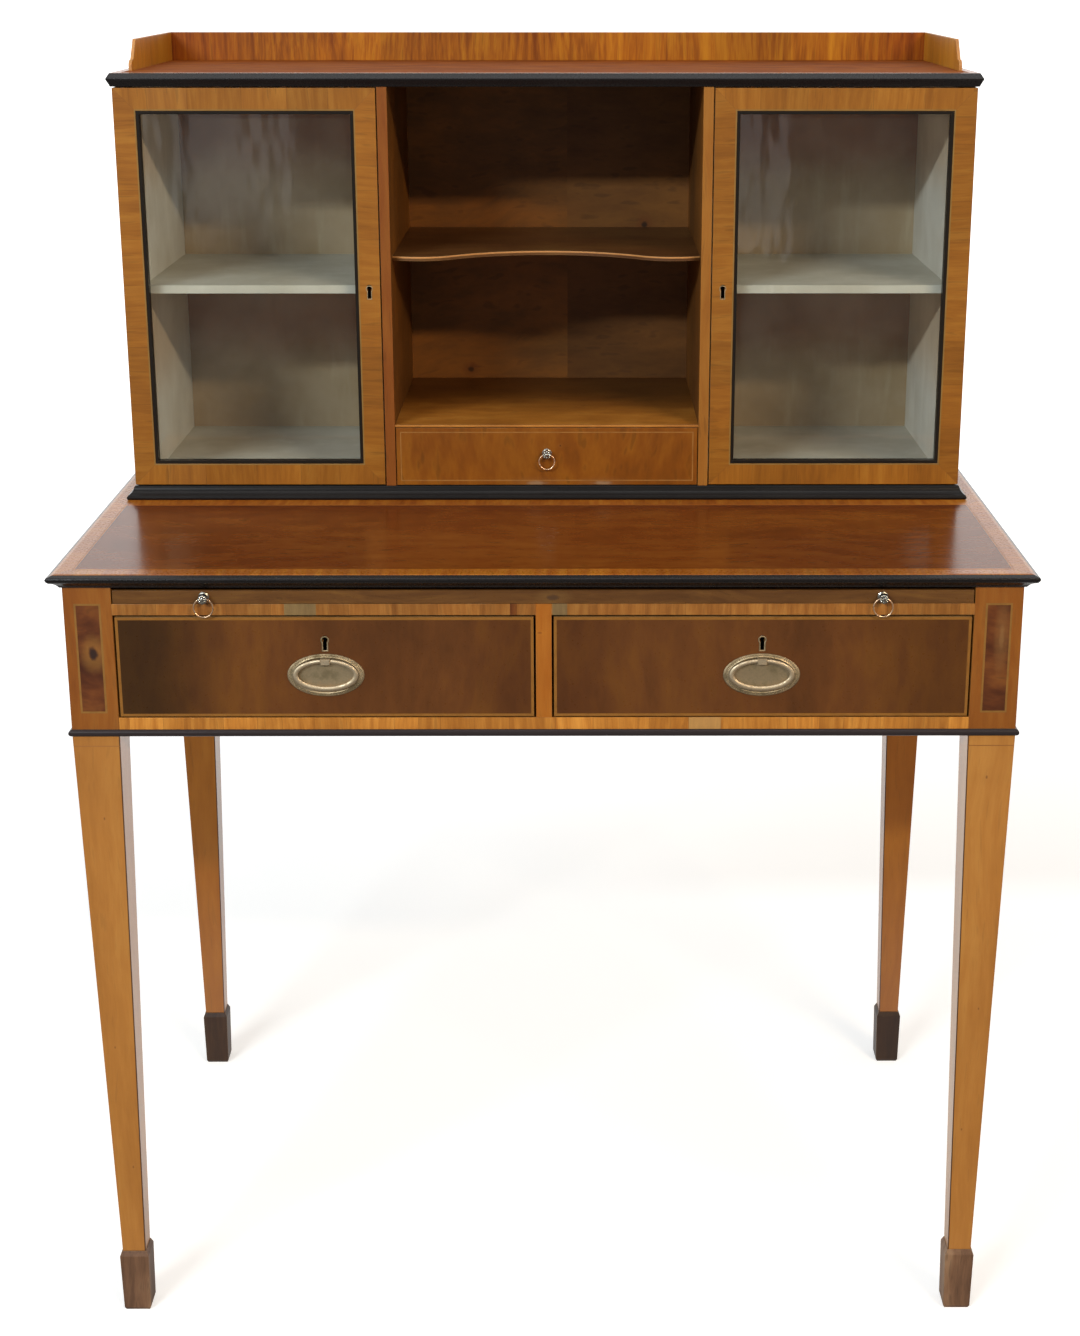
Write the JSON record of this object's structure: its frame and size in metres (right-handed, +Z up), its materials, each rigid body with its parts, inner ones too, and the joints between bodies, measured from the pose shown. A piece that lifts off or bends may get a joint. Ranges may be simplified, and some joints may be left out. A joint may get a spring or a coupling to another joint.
{
  "type": "writing table with cabinet",
  "caption": "Lady's writing table on tapered legs with frieze drawers, a pull-out writing slide and a shallow glazed cabinet with an open bay on its back half.",
  "frame": {"origin": "middle of the bounding box at floor level, under the feet", "axes": "+Z up, +Y towards the back, +X to the right as seen from the front"},
  "size_m": [0.879, 0.57, 1.204],
  "materials": {
    "mahogany": "french-polished mahogany veneer",
    "satinwood": "french-polished satinwood veneer",
    "ebonised": "ebonised wood, polished",
    "stained_foot": "dark stained wood, worn",
    "lining_wood": "unpolished oak lining",
    "dark_back": "old unpolished backboard",
    "brass": "aged lacquered brass",
    "steel": "filed steel",
    "glass": "old drawn sheet glass, slightly wavy"
  },
  "bodies": {
    "desk": {"table_top": "mahogany", "table_top_moulding": "ebonised", "leg_front_left": "satinwood", "leg_front_right": "satinwood", "leg_rear_left": "satinwood", "leg_rear_right": "satinwood", "spade_feet": "stained_foot", "side_rail_left": "satinwood", "side_rail_right": "satinwood", "back_rail": "lining_wood", "bottom_rail": "satinwood", "slide_rail": "satinwood", "drawer_divider": "satinwood", "frieze_bead": "ebonised", "drawer_runners": "lining_wood", "cabinet_side_left": "satinwood", "cabinet_side_right": "satinwood", "partition_left": "satinwood", "partition_right": "satinwood", "cabinet_top": "satinwood", "top_moulding": "ebonised", "cabinet_bottom": "mahogany", "base_moulding": "ebonised", "cabinet_back": "dark_back", "gallery_back": "satinwood", "gallery_sides": "satinwood", "cupboard_boards": "mahogany", "shelf_centre": "mahogany", "drawer_board": "mahogany", "cabinet_hinges": "brass"},
    "door_left": {"door_left_frame": "satinwood", "door_left_bead": "ebonised", "door_left_glass": "glass", "door_left_hardware": "brass"},
    "door_bolt_left": {"door_left_bolt": "steel"},
    "drawer_left": {"drawer_left_front": "mahogany", "drawer_left_box": "lining_wood", "drawer_left_plate": "brass", "drawer_left_lock": "brass"},
    "bail_left": {"drawer_left_bail": "brass"},
    "drawer_bolt_left": {"drawer_left_bolt": "steel"},
    "slide_ring_left": {"slide_ring_left": "brass"},
    "door_right": {"door_right_frame": "satinwood", "door_right_bead": "ebonised", "door_right_glass": "glass", "door_right_hardware": "brass"},
    "door_bolt_right": {"door_right_bolt": "steel"},
    "drawer_right": {"drawer_right_front": "mahogany", "drawer_right_box": "lining_wood", "drawer_right_plate": "brass", "drawer_right_lock": "brass"},
    "bail_right": {"drawer_right_bail": "brass"},
    "drawer_bolt_right": {"drawer_right_bolt": "steel"},
    "slide_ring_right": {"slide_ring_right": "brass"},
    "writing_slide": {"writing_slide": "mahogany", "slide_knobs": "brass"},
    "small_drawer": {"small_drawer_front": "mahogany", "small_drawer_box": "lining_wood", "small_drawer_knob": "brass"},
    "small_drawer_ring": {"small_drawer_ring": "brass"}
  },
  "joints": [
    {"name": "door_left_hinge", "type": "hinge", "parent": "desk", "child": "door_left", "pos_m": [-0.4143, 0.0275, 0.96775], "axis": [0, 0, -1], "range_deg": [0, 170]},
    {"name": "door_left_lock", "type": "slide", "parent": "door_left", "child": "door_bolt_left", "axis": [1, 0, 0], "range_m": [0, 0.005]},
    {"name": "drawer_left_slide", "type": "slide", "parent": "desk", "child": "drawer_left", "axis": [0, -1, 0], "range_m": [0, 0.33]},
    {"name": "bail_left_swing", "type": "hinge", "parent": "drawer_left", "child": "bail_left", "pos_m": [-0.1958, -0.2763, 0.67855], "axis": [-1, 0, 0], "range_deg": [0, 100]},
    {"name": "drawer_left_lock", "type": "slide", "parent": "drawer_left", "child": "drawer_bolt_left", "axis": [0, 0, 1], "range_m": [0, 0.005]},
    {"name": "slide_ring_left_swing", "type": "hinge", "parent": "writing_slide", "child": "slide_ring_left", "pos_m": [-0.302, -0.2784, 0.7376], "axis": [-1, 0, 0], "range_deg": [-10, 85]},
    {"name": "door_right_hinge", "type": "hinge", "parent": "desk", "child": "door_right", "pos_m": [0.4143, 0.0275, 0.96775], "axis": [0, 0, 1], "range_deg": [0, 170]},
    {"name": "door_right_lock", "type": "slide", "parent": "door_right", "child": "door_bolt_right", "axis": [-1, 0, 0], "range_m": [0, 0.005]},
    {"name": "drawer_right_slide", "type": "slide", "parent": "desk", "child": "drawer_right", "axis": [0, -1, 0], "range_m": [0, 0.33]},
    {"name": "bail_right_swing", "type": "hinge", "parent": "drawer_right", "child": "bail_right", "pos_m": [0.1958, -0.2763, 0.67855], "axis": [-1, 0, 0], "range_deg": [0, 100]},
    {"name": "drawer_right_lock", "type": "slide", "parent": "drawer_right", "child": "drawer_bolt_right", "axis": [0, 0, 1], "range_m": [0, 0.005]},
    {"name": "slide_ring_right_swing", "type": "hinge", "parent": "writing_slide", "child": "slide_ring_right", "pos_m": [0.302, -0.2784, 0.7376], "axis": [-1, 0, 0], "range_deg": [-10, 85]},
    {"name": "writing_slide_pull", "type": "slide", "parent": "desk", "child": "writing_slide", "axis": [0, -1, 0], "range_m": [0, 0.25]},
    {"name": "small_drawer_slide", "type": "slide", "parent": "desk", "child": "small_drawer", "axis": [0, -1, 0], "range_m": [0, 0.19]},
    {"name": "small_ring_swing", "type": "hinge", "parent": "small_drawer", "child": "small_drawer_ring", "pos_m": [0, 0.0046, 0.806], "axis": [-1, 0, 0], "range_deg": [-10, 85]}
  ]
}
